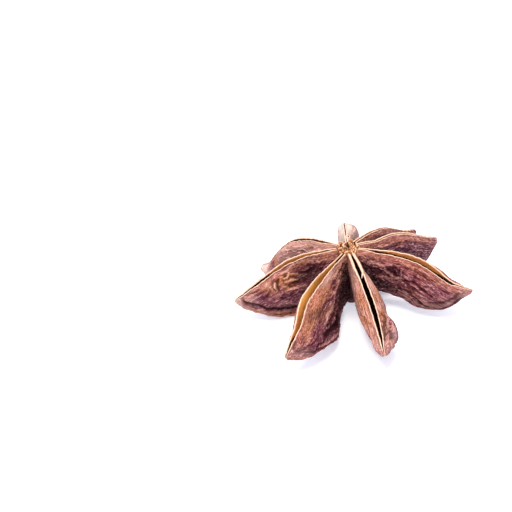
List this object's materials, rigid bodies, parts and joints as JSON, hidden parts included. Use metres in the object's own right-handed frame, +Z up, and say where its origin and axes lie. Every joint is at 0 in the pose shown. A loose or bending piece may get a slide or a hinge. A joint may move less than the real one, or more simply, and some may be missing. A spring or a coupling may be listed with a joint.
{
  "type": "dried star anise fruit",
  "caption": "Whole dried star anise fruit: a ring of boat-shaped woody carpels, split open along their tops and emptied of seed, joined round a short column.",
  "frame": {"origin": "centre of the fruit's outline on the surface that it lies on, within a millimetre of the fruit's own axis", "axes": "+Z up along the fruit's axis, with the open seams on top and the keels below; -Y towards the two carpels that hang lowest at their tips"},
  "size_m": [0.0316, 0.0327, 0.0097],
  "materials": {
    "husk": "dry, wrinkled, matt"
  },
  "bodies": {
    "root": {"star_anise": "husk"}
  },
  "joints": []
}
